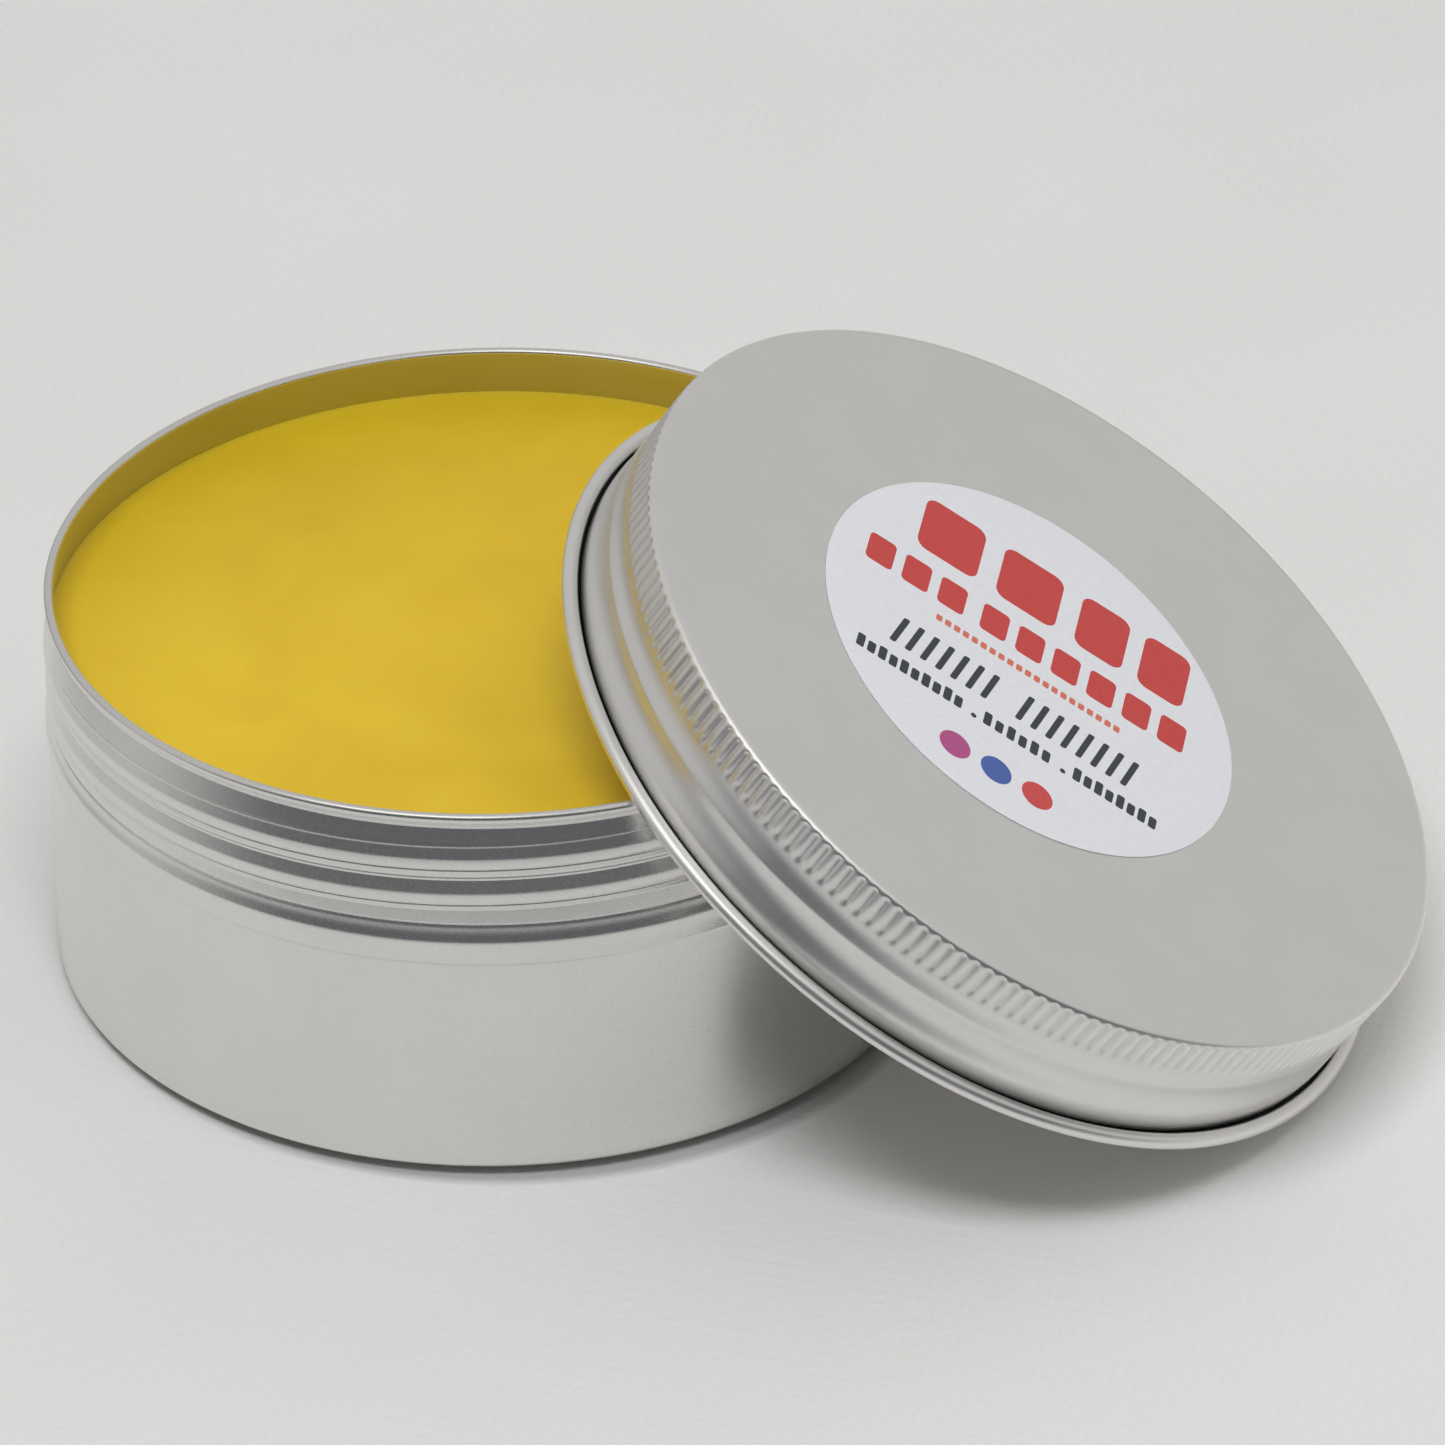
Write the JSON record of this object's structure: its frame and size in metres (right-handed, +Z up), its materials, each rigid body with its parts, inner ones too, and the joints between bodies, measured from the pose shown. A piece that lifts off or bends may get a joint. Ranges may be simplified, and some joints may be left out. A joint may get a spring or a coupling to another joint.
{
  "type": "shoe polish tin",
  "caption": "Round screw-top aluminium tin filled with yellow wax, its ribbed lid off and leaning on the rim.",
  "frame": {"origin": "centre of the tin's flat underside, on the surface it stands on", "axes": "+Z up along the tin's axis, +X from the tin towards the leaning lid"},
  "size_m": [0.1222, 0.083, 0.0547],
  "materials": {
    "tin_aluminium": "satin drawn",
    "lid_aluminium": "satin, rolled ribs",
    "yellow_wax": "soft poured wax",
    "white_foam": "fine closed-cell foam",
    "label_paper": "smooth coated paper"
  },
  "bodies": {
    "tin": {"tin_cup": "tin_aluminium", "wax_fill": "yellow_wax"},
    "lid_liner": {"lid_liner": "white_foam"},
    "lid": {"lid_shell": "lid_aluminium", "lid_label": "label_paper"}
  },
  "joints": [
    {"name": "lid_lift", "type": "slide", "parent": "tin", "child": "lid_liner", "axis": [0.5487, 0, 0.836], "range_m": [0, 0.05]},
    {"name": "lid_turn", "type": "hinge", "parent": "lid_liner", "child": "lid", "pos_m": [0.0432, 0, 0.02318], "axis": [0.5487, 0, 0.836], "continuous": true}
  ]
}
